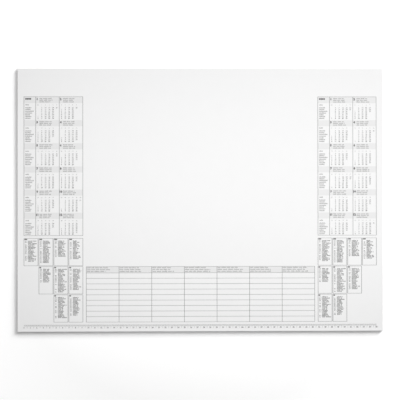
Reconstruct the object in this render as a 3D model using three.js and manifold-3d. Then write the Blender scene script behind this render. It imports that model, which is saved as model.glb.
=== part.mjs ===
// Desk pad calendar: a glued block of large paper sheets on a grey backing board.
// The top sheet carries two side calendars, note boxes, a week table and a centimetre rule.
// Millimetres, +Z up. The pad lies on its board, with its glued head edge towards +Y.
import * as THREE from 'three'
import { mergeVertices } from 'three/addons/utils/BufferGeometryUtils.js'
import Module from 'manifold-3d'

const wasm = await Module()
wasm.setup()

// Sheets, board and glue
const sheetWidth = 570
const sheetDepth = 410
const sheetCount = 30
const sheetThickness = 0.1
const sheetJog = 0.24 // farthest that a sheet's edge stands back from the board's edge
const jogPlaces = 7 // places that an edge can take, from flush to farthest back
const jogStride = 3 // places from one sheet's edge to the next sheet's
const boardThickness = 0.8
const glueFilm = 0.4
const glueRound = 0.25 // radius of the brushed film's outer edges

// Print, as a film of ink on the top sheet
const inkFilm = 0.1
const ruleWidth = 0.4
const uprightWidth = 0.55 // the upright rules are printed a little bolder
const sideMargin = 10
const headMargin = 44
const footMargin = 14.8

// Side calendars
const labelColumn = 18.3
const monthColumn = 36.6
const monthsAcross = 2
const monthRows = 6
const monthHeader = 8.8

// Note boxes under each calendar, in rows of fewer boxes towards the foot
const noteBoxCounts = [4, 3, 2]
const noteDepth = 42.5
const noteGap = 1.45
const calendarToNotes = 4.3

// Week table
const calendarToTable = 5.3
const weekDays = 7
const tableRows = 9
const tableRow = 8.5
const tableHeader = 9.8

// Centimetre rule
const centimetre = 10
const rulerMargin = 10.6 // from the foot edge to the rule's upper line
const millimetreTick = 2.5
const halfTick = 5.3
const halfTickWidth = 0.4

// Edges of the pad and levels of its layers
const halfWidth = sheetWidth / 2
const footY = -(sheetDepth + glueFilm) / 2
const headY = footY + sheetDepth
const boardTop = boardThickness
const paperTop = boardTop + sheetCount * sheetThickness

// Edges of the printed blocks
const printLeft = -halfWidth + sideMargin
const printRight = halfWidth - sideMargin
const printFoot = footY + footMargin
const calendarWidth = labelColumn + monthsAcross * monthColumn
const notesTop = printFoot + noteBoxCounts.length * noteDepth + (noteBoxCounts.length - 1) * noteGap
const calendarFoot = notesTop + calendarToNotes
const calendarHead = headY - headMargin
const monthRow = (calendarHead - calendarFoot) / monthRows

const pad = new THREE.Group()

function addPiece(name, geometry, material) {
  const piece = new THREE.Mesh(geometry, material)
  piece.name = name
  pad.add(piece)
  return piece
}

function paperFinish(colour) {
  return new THREE.MeshStandardMaterial({ color: colour, roughness: 0.9, metalness: 0 })
}

// Box between two corners, whose faces lie exactly at the given values
function box(left, foot, base, right, head, top) {
  const geometry = new THREE.BoxGeometry()
  const corners = geometry.attributes.position
  for (let i = 0; i < corners.count; i += 1) {
    const x = corners.getX(i) < 0 ? left : right
    const y = corners.getY(i) < 0 ? foot : head
    const z = corners.getZ(i) < 0 ? base : top
    corners.setXYZ(i, x, y, z)
  }
  return geometry
}

function toSolid(geometry) {
  geometry.deleteAttribute('normal')
  geometry.deleteAttribute('uv')
  const merged = mergeVertices(geometry)
  const mesh = new wasm.Mesh({
    numProp: 3,
    vertProperties: new Float32Array(merged.attributes.position.array),
    triVerts: new Uint32Array(merged.index.array),
  })
  return new wasm.Manifold(mesh)
}

function toGeometry(solid) {
  const mesh = solid.getMesh()
  const geometry = new THREE.BufferGeometry()
  geometry.setAttribute('position', new THREE.BufferAttribute(mesh.vertProperties, 3))
  geometry.setIndex(new THREE.BufferAttribute(mesh.triVerts, 1))
  geometry.computeVertexNormals()
  return geometry
}

function joined(geometries) {
  return toGeometry(geometries.map(toSolid).reduce((whole, solid) => whole.add(solid)))
}

// Backing board
function backingBoard() {
  return box(-halfWidth, footY, 0, halfWidth, headY, boardTop)
}

// Block of sheets: each is cut a hair smaller or larger than the next, so the edges show the sheets
function sheetBlock() {
  const levelOf = (sheet) => boardTop + sheet * sheetThickness
  const sheets = []
  for (let sheet = 0; sheet < sheetCount; sheet += 1) {
    const back = (sheetJog * ((sheet * jogStride) % jogPlaces)) / (jogPlaces - 1)
    const side = halfWidth - back
    sheets.push(box(-side, footY + back, levelOf(sheet), side, headY - back, levelOf(sheet + 1)))
  }
  return joined(sheets)
}

// Padding glue brushed over the head edge of the sheets and the board
function glueEdge() {
  const outer = headY + glueFilm
  const film = new THREE.Shape()
  film.moveTo(headY, 0)
  film.lineTo(outer - glueRound, 0)
  film.absarc(outer - glueRound, glueRound, glueRound, -Math.PI / 2, 0)
  film.absarc(outer - glueRound, paperTop - glueRound, glueRound, 0, Math.PI / 2)
  film.lineTo(headY, paperTop)
  film.closePath()
  const along = new THREE.ExtrudeGeometry(film, { depth: sheetWidth, bevelEnabled: false, curveSegments: 4 })
  const acrossToY = new THREE.Matrix4().makeBasis(
    new THREE.Vector3(0, 1, 0),
    new THREE.Vector3(0, 0, 1),
    new THREE.Vector3(1, 0, 0),
  )
  return along.applyMatrix4(acrossToY).translate(-halfWidth, 0, 0)
}

// Film of ink over the grid of cells between the given edges, where some cells stay open
function inkGrid(xEdges, yEdges, isOpen) {
  const corners = []
  for (const z of [paperTop, paperTop + inkFilm]) {
    for (const y of yEdges) {
      for (const x of xEdges) {
        corners.push(x, y, z)
      }
    }
  }
  const corner = (column, row, level) => column + xEdges.length * (row + yEdges.length * level)
  const isInked = (column, row) => {
    const inside = column >= 0 && row >= 0 && column < xEdges.length - 1 && row < yEdges.length - 1
    return inside && !isOpen(column, row)
  }
  const triangles = []
  const addFace = (a, b, c, d) => triangles.push(a, b, c, a, c, d)
  const addCell = (column, row) => {
    const post = (right, up) => [0, 1].map((level) => corner(column + right, row + up, level))
    const [footLeft, footRight, headRight, headLeft] = [post(0, 0), post(1, 0), post(1, 1), post(0, 1)]
    const addWall = (from, to) => addFace(from[0], to[0], to[1], from[1])
    addFace(footLeft[1], footRight[1], headRight[1], headLeft[1])
    addFace(footLeft[0], headLeft[0], headRight[0], footRight[0])
    if (!isInked(column, row - 1)) addWall(footLeft, footRight)
    if (!isInked(column + 1, row)) addWall(footRight, headRight)
    if (!isInked(column, row + 1)) addWall(headRight, headLeft)
    if (!isInked(column - 1, row)) addWall(headLeft, footLeft)
  }
  for (let row = 0; row < yEdges.length - 1; row += 1) {
    for (let column = 0; column < xEdges.length - 1; column += 1) {
      if (isInked(column, row)) addCell(column, row)
    }
  }
  const film = new THREE.BufferGeometry()
  film.setAttribute('position', new THREE.Float32BufferAttribute(corners, 3))
  film.setIndex(triangles)
  film.computeVertexNormals()
  return film
}

// Crossed strips of ink, each given by its two edges, with open cells between them
function crossedStrips(uprights, levels) {
  const betweenStrips = (column, row) => column % 2 === 1 && row % 2 === 1
  return inkGrid(uprights.flat(), levels.flat(), betweenStrips)
}

// Strips of a level and an upright printed rule, each centred on a line
function levelStrip(line) {
  return [line - ruleWidth / 2, line + ruleWidth / 2]
}

function uprightStrip(line) {
  return [line - uprightWidth / 2, line + uprightWidth / 2]
}

// Strip of a header band, up to the rule along its head
function headerStrip(foot, head) {
  return [foot, head + ruleWidth / 2]
}

// One side calendar: each row of months has a solid header band over its cells
function sideCalendar(left) {
  const columns = [uprightStrip(left)]
  for (let month = 0; month <= monthsAcross; month += 1) {
    columns.push(uprightStrip(left + labelColumn + month * monthColumn))
  }
  const rows = [levelStrip(calendarFoot)]
  for (let row = 1; row <= monthRows; row += 1) {
    const head = calendarFoot + row * monthRow
    rows.push(headerStrip(head - monthHeader, head))
  }
  return crossedStrips(columns, rows)
}

// Note boxes: the rows get shorter away from the pad's middle
function addNoteBoxes(side, left, keepsRight) {
  const most = Math.max(...noteBoxCounts)
  const noteWidth = (calendarWidth - (most - 1) * noteGap) / most
  noteBoxCounts.forEach((count, row) => {
    const head = notesTop - row * (noteDepth + noteGap)
    const firstPlace = keepsRight ? most - count : 0
    for (let place = firstPlace; place < firstPlace + count; place += 1) {
      const boxLeft = left + place * (noteWidth + noteGap)
      const frame = crossedStrips(
        [uprightStrip(boxLeft), uprightStrip(boxLeft + noteWidth)],
        [levelStrip(head - noteDepth), levelStrip(head)],
      )
      addPiece(`note_box_${side}_${row + 1}_${place + 1}`, frame, paperFinish(0xb4b4b4))
    }
  })
}

// Week table, between the two stacks of note boxes
function weekTable() {
  const left = printLeft + calendarWidth + calendarToTable
  const right = printRight - calendarWidth - calendarToTable
  const columns = []
  for (let day = 0; day <= weekDays; day += 1) {
    columns.push(uprightStrip(left + ((right - left) * day) / weekDays))
  }
  const rows = []
  for (let row = 0; row < tableRows; row += 1) {
    rows.push(levelStrip(printFoot + row * tableRow))
  }
  const headerFoot = printFoot + tableRows * tableRow
  rows.push(headerStrip(headerFoot, headerFoot + tableHeader))
  return crossedStrips(columns, rows)
}

// Centimetre rule: a band of millimetre ticks, with a longer tick at each half centimetre
function rulerScale() {
  const centimetres = Math.floor((printRight - printLeft) / centimetre)
  const left = (-centimetres * centimetre) / 2
  const top = footY + rulerMargin
  const xEdges = [left]
  for (let step = 0; step < centimetres; step += 1) {
    const middle = left + (step + 0.5) * centimetre
    xEdges.push(middle - halfTickWidth / 2, middle + halfTickWidth / 2)
  }
  xEdges.push(left + centimetres * centimetre)
  const belowBandBetweenTicks = (column, row) => row === 0 && column % 2 === 0
  return inkGrid(xEdges, [top - halfTick, top - millimetreTick, top], belowBandBetweenTicks)
}

addPiece('backing_board', backingBoard(), paperFinish(0xa39c90))
addPiece('sheet_block', sheetBlock(), paperFinish(0xf2f2f2))
addPiece('glue_edge', glueEdge(), new THREE.MeshStandardMaterial({ color: 0xe9e7df, roughness: 0.45, metalness: 0 }))
addPiece('calendar_left', sideCalendar(printLeft), paperFinish(0xdcdcdc))
addPiece('calendar_right', sideCalendar(printRight - calendarWidth), paperFinish(0xdcdcdc))
addNoteBoxes('left', printLeft, true)
addNoteBoxes('right', printRight - calendarWidth, false)
addPiece('week_table', weekTable(), paperFinish(0xd6d6d6))
addPiece('ruler_scale', rulerScale(), paperFinish(0xb8b8b8))

export default pad
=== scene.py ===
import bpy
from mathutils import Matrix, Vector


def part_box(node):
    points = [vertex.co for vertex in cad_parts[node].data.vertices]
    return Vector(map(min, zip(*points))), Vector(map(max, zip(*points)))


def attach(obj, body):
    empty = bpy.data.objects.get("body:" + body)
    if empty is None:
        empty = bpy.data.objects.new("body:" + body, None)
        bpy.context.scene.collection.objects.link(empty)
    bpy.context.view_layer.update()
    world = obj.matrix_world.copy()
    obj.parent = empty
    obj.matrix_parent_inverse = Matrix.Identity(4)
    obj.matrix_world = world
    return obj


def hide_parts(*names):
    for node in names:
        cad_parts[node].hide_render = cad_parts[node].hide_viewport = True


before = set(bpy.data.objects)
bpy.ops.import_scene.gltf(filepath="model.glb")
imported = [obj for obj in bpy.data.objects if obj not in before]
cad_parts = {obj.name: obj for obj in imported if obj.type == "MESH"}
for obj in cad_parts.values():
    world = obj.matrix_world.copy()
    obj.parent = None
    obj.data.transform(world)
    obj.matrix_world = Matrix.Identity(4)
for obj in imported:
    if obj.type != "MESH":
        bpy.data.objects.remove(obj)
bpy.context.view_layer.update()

import calendar
from datetime import date
from math import ceil, cos, pi, radians, sin
from random import Random

import bmesh
import bpy
from mathutils import Euler, Matrix, Vector


# Camera: it hangs a metre and a half over the middle of the pad, on an 85 mm lens.
# It looks almost straight down, and stands a little to the left of the middle.
mm = 0.001
camera_data = bpy.data.cameras.new("overhead_camera")
camera_data.lens = 85
camera_data.sensor_width = 36
camera = bpy.data.objects.new("overhead_camera", camera_data)
bpy.context.collection.objects.link(camera)
camera_turn = Euler((radians(0.288), radians(-0.873), radians(-0.068))).to_matrix()
camera_aim = Vector((-0.9 * mm, -0.4 * mm, 0))
camera_reach = 1.478
camera_place = camera_aim + camera_turn @ Vector((0, 0, camera_reach))
camera.matrix_world = Matrix.Translation(camera_place) @ camera_turn.to_4x4()
bpy.context.scene.camera = camera
bpy.context.scene.view_settings.view_transform = "Standard"


# Shader maths: a Reading is a socket's value, and arithmetic on it adds Math nodes.
# A Finish is one material, or the room around the pad, and its node method adds any other node.
class Reading:
    def __init__(self, finish, socket):
        self.finish = finish
        self.socket = socket

    def maths(self, operation, first, second):
        return self.finish.node("ShaderNodeMath", {"operation": operation}, {0: first, 1: second})

    def __add__(self, other):
        return self.maths("ADD", self, other)

    def __radd__(self, other):
        return self.maths("ADD", other, self)

    def __mul__(self, other):
        return self.maths("MULTIPLY", self, other)

    def __rmul__(self, other):
        return self.maths("MULTIPLY", other, self)


class Finish:
    def __init__(self, owner):
        self.owner = owner
        owner.use_nodes = True
        self.tree = owner.node_tree
        self.tree.nodes.clear()

    def node(self, kind, settings, sockets, output=0):
        made = self.tree.nodes.new(kind)
        for setting, value in settings.items():
            if setting == "stops":
                self.set_stops(made.color_ramp, value)
            else:
                setattr(made, setting, value)
        for socket, value in sockets.items():
            if isinstance(value, Reading):
                self.tree.links.new(value.socket, made.inputs[socket])
            else:
                made.inputs[socket].default_value = value
        return Reading(self, made.outputs[output]) if made.outputs else None

    def set_stops(self, ramp, stops):
        while len(ramp.elements) < len(stops):
            ramp.elements.new(1)
        for stop, (position, level) in zip(ramp.elements, stops):
            stop.position = position
            stop.color = grey(level)

    def place(self):
        return self.node("ShaderNodeTexCoord", {}, {}, "Object")

    def seen(self):
        """1 where the camera, a reflection or a view through glass looks at it, otherwise 0."""
        rays = ("Is Camera Ray", "Is Glossy Ray", "Is Transmission Ray")
        direct, glossy, through = (self.node("ShaderNodeLightPath", {}, {}, ray) for ray in rays)
        return direct + glossy + through

    def noise(self, scale, detail, roughness=0.5):
        sockets = {"Vector": self.place(), "Scale": scale, "Detail": detail, "Roughness": roughness}
        return self.node("ShaderNodeTexNoise", {}, sockets, "Fac")

    def blend(self, share, first, second):
        """A mix of two colours, whose sockets stand after those of the Mix node's other data types."""
        first_colour, second_colour, mixed_colour = 6, 7, 2
        sockets = {0: share, first_colour: first, second_colour: second}
        return self.node("ShaderNodeMix", {"data_type": "RGBA"}, sockets, mixed_colour)

    def bump(self, height, strength, distance):
        sockets = {"Height": height, "Strength": strength, "Distance": distance}
        return self.node("ShaderNodeBump", {}, sockets)

    def surface(self, sockets):
        shader = self.node("ShaderNodeBsdfPrincipled", {}, sockets)
        self.node("ShaderNodeOutputMaterial", {}, {"Surface": shader})
        return self.owner


def grey(level):
    return (level, level, level, 1)


# Light: two broad soft panels stand low at the right and behind the head edge, and throw the narrow
# soft shadow along the left and the foot. A weak panel hangs overhead, and the pale room fills the rest.
def light_panel(name, place, aim, width, height, watts):
    panel = bpy.data.lights.new(name, "AREA")
    panel.shape = "RECTANGLE"
    panel.size = width
    panel.size_y = height
    panel.energy = watts
    lamp = bpy.data.objects.new(name, panel)
    bpy.context.collection.objects.link(lamp)
    facing = (Vector(place) - Vector(aim)).to_track_quat("Z", "Y").to_matrix().to_4x4()
    lamp.matrix_world = Matrix.Translation(place) @ facing
    lamp.visible_camera = False


def around_pad(distance, turn, rise):
    """A place at a distance from the pad's middle, turned from +X and raised by degrees."""
    level = distance * cos(radians(rise))
    return level * cos(radians(turn)), level * sin(radians(turn)), distance * sin(radians(rise))


pad_middle = (0, 0, 0)
right_place = around_pad(distance=6, turn=43, rise=23.5)
head_place = around_pad(distance=8.1, turn=80, rise=22)
overhead_place = (0.06, 0.02, 0.41)
overhead_aim = (0.06, 0.02, 0)
light_panel("right_panel", right_place, pad_middle, width=2.6, height=2.6, watts=406)
light_panel("head_panel", head_place, pad_middle, width=2.4, height=1.6, watts=139)
light_panel("overhead_panel", overhead_place, overhead_aim, width=1.05, height=0.52, watts=1.785)

room_fill = grey(0.078)
seen_white = grey(1)
pale_room = Finish(bpy.data.worlds.new("pale_room"))
room_tone = pale_room.blend(pale_room.seen(), room_fill, seen_white)
room_glow = pale_room.node("ShaderNodeBackground", {}, {"Color": room_tone})
pale_room.node("ShaderNodeOutputWorld", {}, {"Surface": room_glow})
bpy.context.scene.world = pale_room.owner


# Floor: a seamless white studio table, which is stage and no part of the pad.
# Seen by the camera it is lit past white, more so away from the pad, and only the pad's shadow shows.
floor_reach = 1.3
whiter_from = 0.33
table_white = grey(0.85)
seen_near = grey(1.15)
seen_far = grey(2.7)
floor_mesh = bpy.data.meshes.new("studio_floor")
floor_shape = bmesh.new()
bmesh.ops.create_grid(floor_shape, x_segments=1, y_segments=1, size=floor_reach)
floor_shape.to_mesh(floor_mesh)
floor_shape.free()
floor = bpy.data.objects.new("studio_floor", floor_mesh)
bpy.context.collection.objects.link(floor)
white_table = Finish(bpy.data.materials.new("white_table"))
measure = {"operation": "LENGTH"}
from_middle = white_table.node("ShaderNodeVectorMath", measure, {0: white_table.place()}, "Value")
stretch = {"Value": from_middle, "From Min": whiter_from, "From Max": floor_reach}
outwards = white_table.node("ShaderNodeMapRange", {}, stretch)
seen_tone = white_table.blend(outwards, seen_near, seen_far)
table_tone = white_table.blend(white_table.seen(), table_white, seen_tone)
table_skin = white_table.node("ShaderNodeBsdfDiffuse", {}, {"Color": table_tone})
white_table.node("ShaderNodeOutputMaterial", {}, {"Surface": table_skin})
floor_mesh.materials.append(white_table.owner)


# Backing board: one sheet of grey chipboard, cut to the size of the sheets and glued under them.
# It is pressed from waste paper, so its faces show flecks, and its cut edge is slightly crushed.
def finish_piece(name, shape, material, replaced=()):
    mesh = bpy.data.meshes.new(name)
    shape.to_mesh(mesh)
    shape.free()
    mesh.materials.append(material)
    piece = bpy.data.objects.new(name, mesh)
    bpy.context.collection.objects.link(piece)
    if replaced:
        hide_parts(*replaced)
    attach(piece, "root")


def grey_chipboard():
    dark_pulp = (0.30, 0.275, 0.235, 1)
    light_pulp = (0.40, 0.375, 0.325, 1)
    dark_fleck = (0.17, 0.15, 0.13, 1)
    fleck_stops = [(0.56, 0), (0.68, 1)]
    board = Finish(bpy.data.materials.new("grey_chipboard"))
    specks = board.noise(scale=900, detail=3)
    flecks = board.node("ShaderNodeValToRGB", {"stops": fleck_stops}, {0: specks})
    pulp = board.blend(board.noise(scale=60, detail=4), dark_pulp, light_pulp)
    tone = board.blend(flecks, pulp, dark_fleck)
    felt = board.noise(scale=1500, detail=5, roughness=0.7)
    relief = board.bump(felt, strength=0.5, distance=0.06 * mm)
    dull = {"Roughness": 0.92, "Specular IOR Level": 0.25}
    return board.surface({"Base Color": tone, "Normal": relief, **dull})


crushed_edge = 0.14 * mm
board_low, board_high = (Vector(corner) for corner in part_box("backing_board"))
board_size = board_high - board_low
to_board = Matrix.Translation((board_low + board_high) / 2) @ Matrix.Diagonal((*board_size, 1))
board_shape = bmesh.new()
bmesh.ops.create_cube(board_shape, size=1, matrix=to_board)
bmesh.ops.bevel(board_shape, geom=board_shape.edges[:], offset=crushed_edge, offset_type="OFFSET",
                segments=3, profile=0.5, affect="EDGES", material=-1)
finish_piece("chipboard_back", board_shape, grey_chipboard(), ["backing_board"])


# Sheets: thirty leaves of uncoated white paper, held only at the head, where the glue grips them.
# They are jogged level by hand, so each stands a hair in or out, and the free edges lie a little open.
def paper_fibres(finish):
    return finish.noise(scale=2600, detail=6, roughness=0.75)


def writing_paper():
    felt_share = 0.6
    paper = Finish(bpy.data.materials.new("writing_paper"))
    clouds = paper.noise(scale=55, detail=5, roughness=0.6)
    tone = paper.blend(clouds, grey(0.862), grey(0.882))
    felt = paper_fibres(paper) + felt_share * paper.noise(scale=700, detail=3)
    relief = paper.bump(felt, strength=0.22, distance=0.03 * mm)
    dull = {"Roughness": 0.88, "Specular IOR Level": 0.2}
    return paper.surface({"Base Color": tone, "Normal": relief, **dull})


block_low, block_high = (Vector(corner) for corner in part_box("sheet_block"))
sheet_count = 30
sheet_pitch = (block_high.z - block_low.z) / sheet_count
sheet_body = 0.93 * sheet_pitch
farthest_jog = 0.24 * mm
head_gap = 0.02 * mm
top_leaf_inset = 0.05 * mm
margin_cells = [0, 0.7 * mm, 1.6 * mm, 2.8 * mm, 4.5 * mm]
middle_cells = 16
open_edge = 0.10 * mm
opening_power = 4
gripped_depth = 0.12
wave_share = 0.4
wave_turns = (31, 23)
wave_start = 1.3
jog_chance = Random(7)


def grid_stops(low, high):
    """Where the lines of a leaf's grid lie, close together in its margins."""
    inner_low = low + margin_cells[-1]
    inner_high = high - margin_cells[-1]
    step = (inner_high - inner_low) / middle_cells
    rising = [low + margin for margin in margin_cells[:-1]]
    falling = [high - margin for margin in reversed(margin_cells[:-1])]
    return rising + [inner_low + step * i for i in range(middle_cells + 1)] + falling


def ease(share):
    share = min(max(share, 0), 1)
    return share * share * (3 - 2 * share)


def leaf_rise(x, y, looseness):
    """How far the margin of a loose leaf stands over the flat of the block."""
    from_side = min(x - block_low.x, block_high.x - x)
    from_foot = y - block_low.y
    from_head = block_high.y - y
    lift = 1 - ease(min(from_side, from_foot) / margin_cells[-1])
    held = ease(from_head / gripped_depth)
    ripple = sin(x * wave_turns[0] + wave_start) * cos(y * wave_turns[1])
    wave = 1 - wave_share + wave_share * ripple
    return looseness * open_edge * lift * held * wave


def thicken(shape, skin, thickness):
    """Makes a level skin of faces, seen from above, into a closed solid that stands on it."""
    walls = bmesh.ops.extrude_face_region(shape, geom=skin)
    upper = [part for part in walls["geom"] if isinstance(part, bmesh.types.BMVert)]
    bmesh.ops.translate(shape, verts=upper, vec=(0, 0, thickness))
    bmesh.ops.reverse_faces(shape, faces=skin)


def add_leaf(shape, in_left, in_right, in_foot, base, looseness):
    """One leaf, whose edges stand in from the block's by the given amounts."""
    stops_x = grid_stops(block_low.x + in_left, block_high.x - in_right)
    stops_y = grid_stops(block_low.y + in_foot, block_high.y - head_gap)
    cells_x = len(stops_x) - 1
    cells_y = len(stops_y) - 1
    leaf = bmesh.ops.create_grid(shape, x_segments=cells_x, y_segments=cells_y, size=1)["verts"]
    for vert in leaf:
        x = stops_x[round((vert.co.x + 1) / 2 * cells_x)]
        y = stops_y[round((vert.co.y + 1) / 2 * cells_y)]
        vert.co = (x, y, base + leaf_rise(x, y, looseness))
    thicken(shape, list({face for vert in leaf for face in vert.link_faces}), sheet_body)


paper_material = writing_paper()
leaves_shape = bmesh.new()
for sheet in range(sheet_count - 1):
    in_left, in_right, in_foot = (jog_chance.uniform(0, farthest_jog) for _ in range(3))
    base = block_low.z + sheet * sheet_pitch
    looseness = (sheet / sheet_count) ** opening_power
    add_leaf(leaves_shape, in_left, in_right, in_foot, base, looseness)
finish_piece("lower_leaves", leaves_shape, paper_material, ["sheet_block"])

top_leaf_shape = bmesh.new()
top_leaf_base = block_high.z - sheet_body
add_leaf(top_leaf_shape, top_leaf_inset, top_leaf_inset, top_leaf_inset, top_leaf_base, looseness=1)
finish_piece("top_leaf", top_leaf_shape, paper_material)


# Padding glue: a film of white emulsion glue, brushed over the head edge of the sheets and the board.
# It dries rubbery and a little uneven, and peels clean off each leaf.
def padding_glue():
    thin_film = (0.74, 0.72, 0.66, 1)
    thick_film = (0.84, 0.83, 0.79, 1)
    glue = Finish(bpy.data.materials.new("padding_glue"))
    tone = glue.blend(glue.noise(scale=160, detail=4, roughness=0.6), thin_film, thick_film)
    drag = glue.bump(glue.noise(scale=420, detail=3), strength=0.35, distance=0.1 * mm)
    return glue.surface({"Base Color": tone, "Roughness": 0.42, "Normal": drag})


glue_low, glue_high = (Vector(corner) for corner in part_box("glue_edge"))
film_around = 12
film_along = 190
film_foot = glue_low.z + 0.05 * mm
film_height = glue_high.z - glue_low.z - 0.35 * mm
film_roundness = 0.35
swell_share = 0.2
glue_chance = Random(11)
brush_marks = [(glue_chance.uniform(40, 400), glue_chance.uniform(0, 2 * pi)) for _ in range(7)]
glue_shape = bmesh.new()
film = bmesh.ops.create_grid(glue_shape, x_segments=film_along, y_segments=film_around, size=1)["verts"]
for vert in film:
    x = glue_low.x + (vert.co.x + 1) / 2 * (glue_high.x - glue_low.x)
    around = (vert.co.y + 1) / 2
    swell = sum(sin(x * pace + start) for pace, start in brush_marks) / len(brush_marks)
    thickness = (glue_high.y - glue_low.y) * (1 - swell_share + swell_share * swell)
    bulge = sin(pi * around) ** film_roundness
    vert.co = (x, glue_low.y + thickness * bulge, film_foot + around * film_height)
film_faces = glue_shape.faces[:]
film_back = bmesh.ops.extrude_face_region(glue_shape, geom=film_faces)
for part in film_back["geom"]:
    if isinstance(part, bmesh.types.BMVert):
        part.co.y = glue_low.y
bmesh.ops.recalc_face_normals(glue_shape, faces=glue_shape.faces[:])
finish_piece("glue_film", glue_shape, padding_glue(), ["glue_edge"])


# Side calendars: offset print in greys on the top leaf, framed and parted into columns by fine rules.
# Six rows of two months stand beside a label column. Each row has a tinted head band, small plain
# numbers, and lines of small grey bars.
ink_film = 0.006 * mm
ink_step = 0.008 * mm
band_level = block_high.z + 0.014 * mm
rule_level = band_level + ink_step
type_level = rule_level + ink_step
rule_width = 0.4 * mm
upright_width = 0.55 * mm


def printed_ink(name, level, patchiness):
    ink = Finish(bpy.data.materials.new(name))
    mottle = ink.noise(scale=1400, detail=3)
    tone = ink.blend(mottle, grey(level * (1 - patchiness)), grey(level * (1 + patchiness)))
    relief = ink.bump(paper_fibres(ink), strength=0.2, distance=0.03 * mm)
    dull = {"Roughness": 0.82, "Specular IOR Level": 0.2}
    return ink.surface({"Base Color": tone, "Normal": relief, **dull})


tint_ink = printed_ink("tint_ink", level=0.785, patchiness=0.012)
rule_ink = printed_ink("rule_ink", level=0.165, patchiness=0.08)
word_ink = printed_ink("word_ink", level=0.36, patchiness=0.06)
type_ink = printed_ink("type_ink", level=0.13, patchiness=0.08)


def print_piece(name, shape, ink, replaced=()):
    thicken(shape, shape.faces[:], ink_film)
    finish_piece(name, shape, ink, replaced)


def ink_bar(shape, left, foot, right, head, level):
    """One flat field of ink between four edges."""
    middle = Vector(((left + right) / 2, (foot + head) / 2, level))
    field = Matrix.Translation(middle) @ Matrix.Diagonal((right - left, head - foot, 1, 1))
    bmesh.ops.create_grid(shape, x_segments=1, y_segments=1, size=0.5, matrix=field)


def crossed_rules(shape, uprights, levels):
    """Rules centred on the given lines, cut where they cross so that no two lie in one place."""
    half = rule_width / 2
    side = upright_width / 2
    for y in levels:
        ink_bar(shape, uprights[0] - side, y - half, uprights[-1] + side, y + half, rule_level)
    for low, high in zip(levels, levels[1:]):
        for x in uprights:
            ink_bar(shape, x - side, low + half, x + side, high - half, rule_level)


def set_type(shape, words, x, y, height, pitch=0, weight=0):
    """Plain numbers as flat letter shapes, the first line standing on y and the next a pitch lower."""
    digit_share = 0.72
    curve = bpy.data.curves.new("type", "FONT")
    curve.body = words
    curve.size = height / digit_share
    curve.align_x = "CENTER"
    curve.resolution_u = 1
    curve.offset = weight
    if pitch:
        curve.space_line = pitch / curve.size
    letters = bpy.data.objects.new("type", curve)
    flat = bpy.data.meshes.new_from_object(letters)
    before = len(shape.verts)
    shape.from_mesh(flat)
    shape.verts.ensure_lookup_table()
    bmesh.ops.translate(shape, verts=shape.verts[before:], vec=(x, y, type_level))
    bpy.data.objects.remove(letters)
    bpy.data.curves.remove(curve)
    bpy.data.meshes.remove(flat)


def set_words(shape, x, y, length, height, letters, chance):
    """A line of small upright bars of ink, one for each letter, in groups of the given numbers."""
    letter = 0.62 * height
    gap = 0.24 * height
    tall_letter = 1.35
    at = x
    left_in_word = chance.choice(letters)
    while at + letter <= x + length:
        if left_in_word:
            tall = height * chance.choice((1, 1, 1, tall_letter))
            ink_bar(shape, at, y, at + letter, y + tall, type_level)
            left_in_word -= 1
        else:
            left_in_word = chance.choice(letters)
        at += letter + gap


label_column = 18.3 * mm
month_column = 36.6 * mm
months_across = 2
month_rows = 6
month_header = 9.9 * mm
band_drop = 0.4 * mm
weekdays = 7
short_words = (4, 5, 6, 7)
unbroken = (13,)

year_bars = 4
year_bar_pitch = 2.35 * mm
year_bar_width = 2.05 * mm
year_head_drop = 2.1 * mm
year_foot_drop = 4.7 * mm
label_indent = 2.1 * mm
week_label_indent = 2.4 * mm
week_label_length = 5.5 * mm
week_label_size = 1.3 * mm
weekday_lengths = [9.4 * mm, 9.2 * mm, 13.7 * mm, 10.8 * mm, 7.4 * mm, 10.4 * mm, 8.6 * mm]
weekday_size = 1.4 * mm

month_indent = 2.3 * mm
month_drop = 5.2 * mm
month_size = 3.3 * mm
month_weight = 0.32 * mm
header_lines = 3
header_indent = 5.9 * mm
header_drop = 3.6 * mm
header_pitch = 2.6 * mm
header_size = 1.3 * mm
shortest_header = 16 * mm
longest_header = 21 * mm

first_week = 3.5 * mm
week_pitch = 5.85 * mm
week_number_drop = 13.5 * mm
week_number_size = 1.5 * mm
monday_drop = 18.05 * mm
weekday_pitch = 2.73 * mm
day_size = 1.9 * mm
day_weight = 0.05 * mm
sunday_weight = 0.1 * mm


def month_weeks(year, month):
    """Each week of a month: its place, its number in the year, and its days as text."""
    first_weekday, days = calendar.monthrange(year, month)
    weeks = ceil((first_weekday + days) / weekdays)
    for week in range(weeks):
        dates = [weekdays * week + weekday - first_weekday + 1 for weekday in range(weekdays)]
        shown = [str(day) if 1 <= day <= days else "" for day in dates]
        first_shown = min(day for day in dates if 1 <= day <= days)
        yield week, date(year, month, first_shown).isocalendar()[1], shown


def print_year(numbers, left, top):
    """The bold bars at the head of the label column."""
    for bar in range(year_bars):
        at = left + label_indent + bar * year_bar_pitch
        ink_bar(numbers, at, top - year_foot_drop, at + year_bar_width, top - year_head_drop, type_level)


def print_labels(words, left, top, chance):
    """One row's labels: a short one beside the week numbers, and one beside each weekday."""
    at = left + week_label_indent
    week_line = top - week_number_drop
    set_words(words, at, week_line, week_label_length, week_label_size, unbroken, chance)
    for weekday, length in enumerate(weekday_lengths):
        line = top - monday_drop - weekday * weekday_pitch
        set_words(words, left + label_indent, line, length, weekday_size, unbroken, chance)


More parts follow.
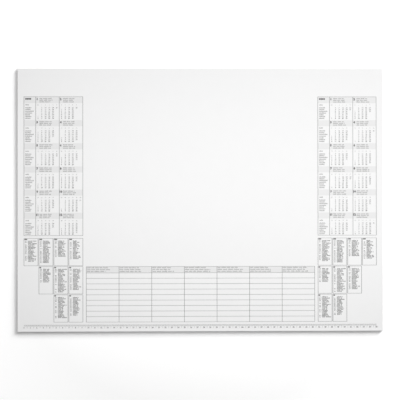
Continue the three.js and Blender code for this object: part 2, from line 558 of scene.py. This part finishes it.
def print_header(words, numbers, edge, top, month, chance):
    """A month's large number, and the short lines beside it on the tinted band."""
    set_type(numbers, str(month), edge + month_indent, top - month_drop, month_size, weight=month_weight)
    for line in range(header_lines):
        length = chance.uniform(shortest_header, longest_header)
        baseline = top - header_drop - line * header_pitch
        set_words(words, edge + header_indent, baseline, length, header_size, short_words, chance)


def print_days(numbers, edge, top, year_pattern, month):
    """A month's weeks, each a column of days under its number, with the Sunday a little bolder."""
    for week, week_number, days in month_weeks(year_pattern, month):
        *workdays, sunday = days
        at = edge + first_week + week * week_pitch
        monday_line = top - monday_drop
        set_type(numbers, str(week_number), at, top - week_number_drop, week_number_size)
        set_type(numbers, "\n".join(workdays), at, monday_line, day_size, weekday_pitch, day_weight)
        if sunday:
            sunday_line = monday_line - len(workdays) * weekday_pitch
            set_type(numbers, sunday, at, sunday_line, day_size, weight=sunday_weight)


def print_calendar(side, year_pattern, chance):
    low, high = (Vector(corner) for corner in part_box("calendar_" + side))
    left = low.x + upright_width / 2
    foot = low.y + rule_width / 2
    head = high.y - rule_width / 2
    right = high.x - upright_width / 2
    row_height = (head - foot) / month_rows
    bands = bmesh.new()
    rules = bmesh.new()
    words = bmesh.new()
    numbers = bmesh.new()
    uprights = [left, left + label_column, left + label_column + month_column, right]
    crossed_rules(rules, uprights, [foot, head])
    print_year(numbers, left, head)
    for row in range(month_rows):
        top = head - row * row_height
        band_top = top - band_drop if row else top
        ink_bar(bands, left, top - month_header, right, band_top, band_level)
        print_labels(words, left, top, chance)
        for across in range(months_across):
            edge = left + label_column + across * month_column
            month = row * months_across + across + 1
            print_header(words, numbers, edge, top, month, chance)
            print_days(numbers, edge, top, year_pattern, month)
    print_piece("calendar_bands_" + side, bands, tint_ink)
    print_piece("calendar_rules_" + side, rules, rule_ink, ["calendar_" + side])
    print_piece("calendar_words_" + side, words, word_ink)
    print_piece("calendar_numbers_" + side, numbers, type_ink)


# The days of the left calendar fall as in a common year that starts on a Saturday,
# and those of the right one as in a leap year that starts on a Sunday.
print_calendar("left", 2011, Random(21))
print_calendar("right", 2012, Random(22))


# Note boxes: small frames printed under each calendar, in rows of four, three and two.
# Each holds a bold mark over a list of short lines, all as small bars of ink.
mark_lengths = [4.2 * mm, 2.7 * mm, 2.5 * mm]
mark_indent = 1.1 * mm
mark_head_drop = 0.8 * mm
mark_foot_drop = 2.6 * mm

list_fills = [[0.86, 0.9, 0.7, 0.78], [0.61, 0.97, 0.87], [0.85, 0.76]]
list_drop = 5 * mm
list_pitch = 1.95 * mm
dated_share = 0.8
date_indent = 2.2 * mm
date_length = 3 * mm
date_size = 0.9 * mm
date_letters = (2, 3)
entry_indent = 6.7 * mm
entry_size = 1.15 * mm
entry_letters = (5, 7, 9, 12)
shortest_entry = 5.5 * mm
usual_entry = 9 * mm
longest_entry = 14.5 * mm


def print_list(words, low, high, fill, chance):
    """The lines of one note box, from under its mark down to the given share of its height."""
    line = high.y - list_drop
    list_foot = high.y - fill * (high.y - low.y)
    while line > list_foot:
        if chance.random() < dated_share:
            set_words(words, low.x + date_indent, line, date_length, date_size, date_letters, chance)
        length = chance.triangular(shortest_entry, longest_entry, usual_entry)
        set_words(words, low.x + entry_indent, line, length, entry_size, entry_letters, chance)
        line -= list_pitch


def print_note_boxes(side, chance):
    rules = bmesh.new()
    words = bmesh.new()
    replaced = []
    half = rule_width / 2
    side_half = upright_width / 2
    most = max(len(fills) for fills in list_fills)
    for row, (mark_length, fills) in enumerate(zip(mark_lengths, list_fills), 1):
        first = most - len(fills) + 1 if side == "left" else 1
        for place, fill in enumerate(fills, first):
            node = f"note_box_{side}_{row}_{place}"
            replaced.append(node)
            low, high = (Vector(corner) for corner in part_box(node))
            crossed_rules(rules, [low.x + side_half, high.x - side_half], [low.y + half, high.y - half])
            mark_left = low.x + mark_indent
            mark_right = mark_left + mark_length
            mark_head = high.y - mark_head_drop
            ink_bar(words, mark_left, high.y - mark_foot_drop, mark_right, mark_head, type_level)
            print_list(words, low, high, fill, chance)
    print_piece("note_rules_" + side, rules, rule_ink, replaced)
    print_piece("note_words_" + side, words, type_ink)


print_note_boxes("left", Random(31))
print_note_boxes("right", Random(31))


# Week table: seven columns for the days and nine lines to write on, printed under a tinted head band.
# On the band, each column has three lines of small bars of ink.
table_rows = 9
table_row = 8.5 * mm
table_head_lines = 3
table_indent = 1.1 * mm
table_line_drop = 2.5 * mm
table_line_pitch = 2.95 * mm
table_line_size = 1.35 * mm
shortest_table_line = 27 * mm
longest_table_line = 41 * mm
table_low, table_high = (Vector(corner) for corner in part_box("week_table"))
table_left = table_low.x + upright_width / 2
table_right = table_high.x - upright_width / 2
table_foot = table_low.y + rule_width / 2
table_head = table_high.y - rule_width / 2
table_column = (table_right - table_left) / weekdays
table_band_foot = table_foot + table_rows * table_row
table_levels = [table_foot + row * table_row for row in range(table_rows + 1)] + [table_head]
table_uprights = [table_left + day * table_column for day in range(weekdays + 1)]
table_chance = Random(41)
table_band = bmesh.new()
table_rules = bmesh.new()
table_words = bmesh.new()
ink_bar(table_band, table_left, table_band_foot, table_right, table_head, band_level)
crossed_rules(table_rules, table_uprights, table_levels)
for upright in table_uprights[:-1]:
    for line in range(table_head_lines):
        at = upright + table_indent
        length = table_chance.uniform(shortest_table_line, longest_table_line)
        baseline = table_head - table_line_drop - line * table_line_pitch
        set_words(table_words, at, baseline, length, table_line_size, short_words, table_chance)
print_piece("table_band", table_band, tint_ink)
print_piece("table_rules", table_rules, rule_ink, ["week_table"])
print_piece("table_words", table_words, word_ink)


# Centimetre rule: fine ticks printed along the foot edge, with a plain number under every centimetre.
# Millimetre ticks are short, and those of the half centimetres reach down between the numbers.
tick_width = 0.23 * mm
scale_line = 0.15 * mm
short_tick = 2.5 * mm
number_drop = 5.3 * mm
number_size = 2.1 * mm
number_weight = 0.2 * mm
centimetre = 10
half_centimetre = 5
ruler_low, ruler_high = (Vector(corner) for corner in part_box("ruler_scale"))
millimetres = round((ruler_high.x - ruler_low.x) / mm)
number_line = ruler_high.y - number_drop
ruler_ticks = bmesh.new()
ruler_numbers = bmesh.new()
ink_bar(ruler_ticks, ruler_low.x, ruler_high.y - scale_line, ruler_high.x, ruler_high.y, type_level)
for millimetre in range(millimetres + 1):
    middle = ruler_low.x + millimetre * mm
    left = max(middle - tick_width / 2, ruler_low.x)
    right = min(middle + tick_width / 2, ruler_high.x)
    foot = ruler_low.y if millimetre % centimetre == half_centimetre else ruler_high.y - short_tick
    ink_bar(ruler_ticks, left, foot, right, ruler_high.y - scale_line, type_level)
    if millimetre % centimetre == 0:
        number = str(millimetre // centimetre)
        set_type(ruler_numbers, number, middle, number_line, number_size, weight=number_weight)
print_piece("ruler_ticks", ruler_ticks, rule_ink, ["ruler_scale"])
print_piece("ruler_numbers", ruler_numbers, word_ink)
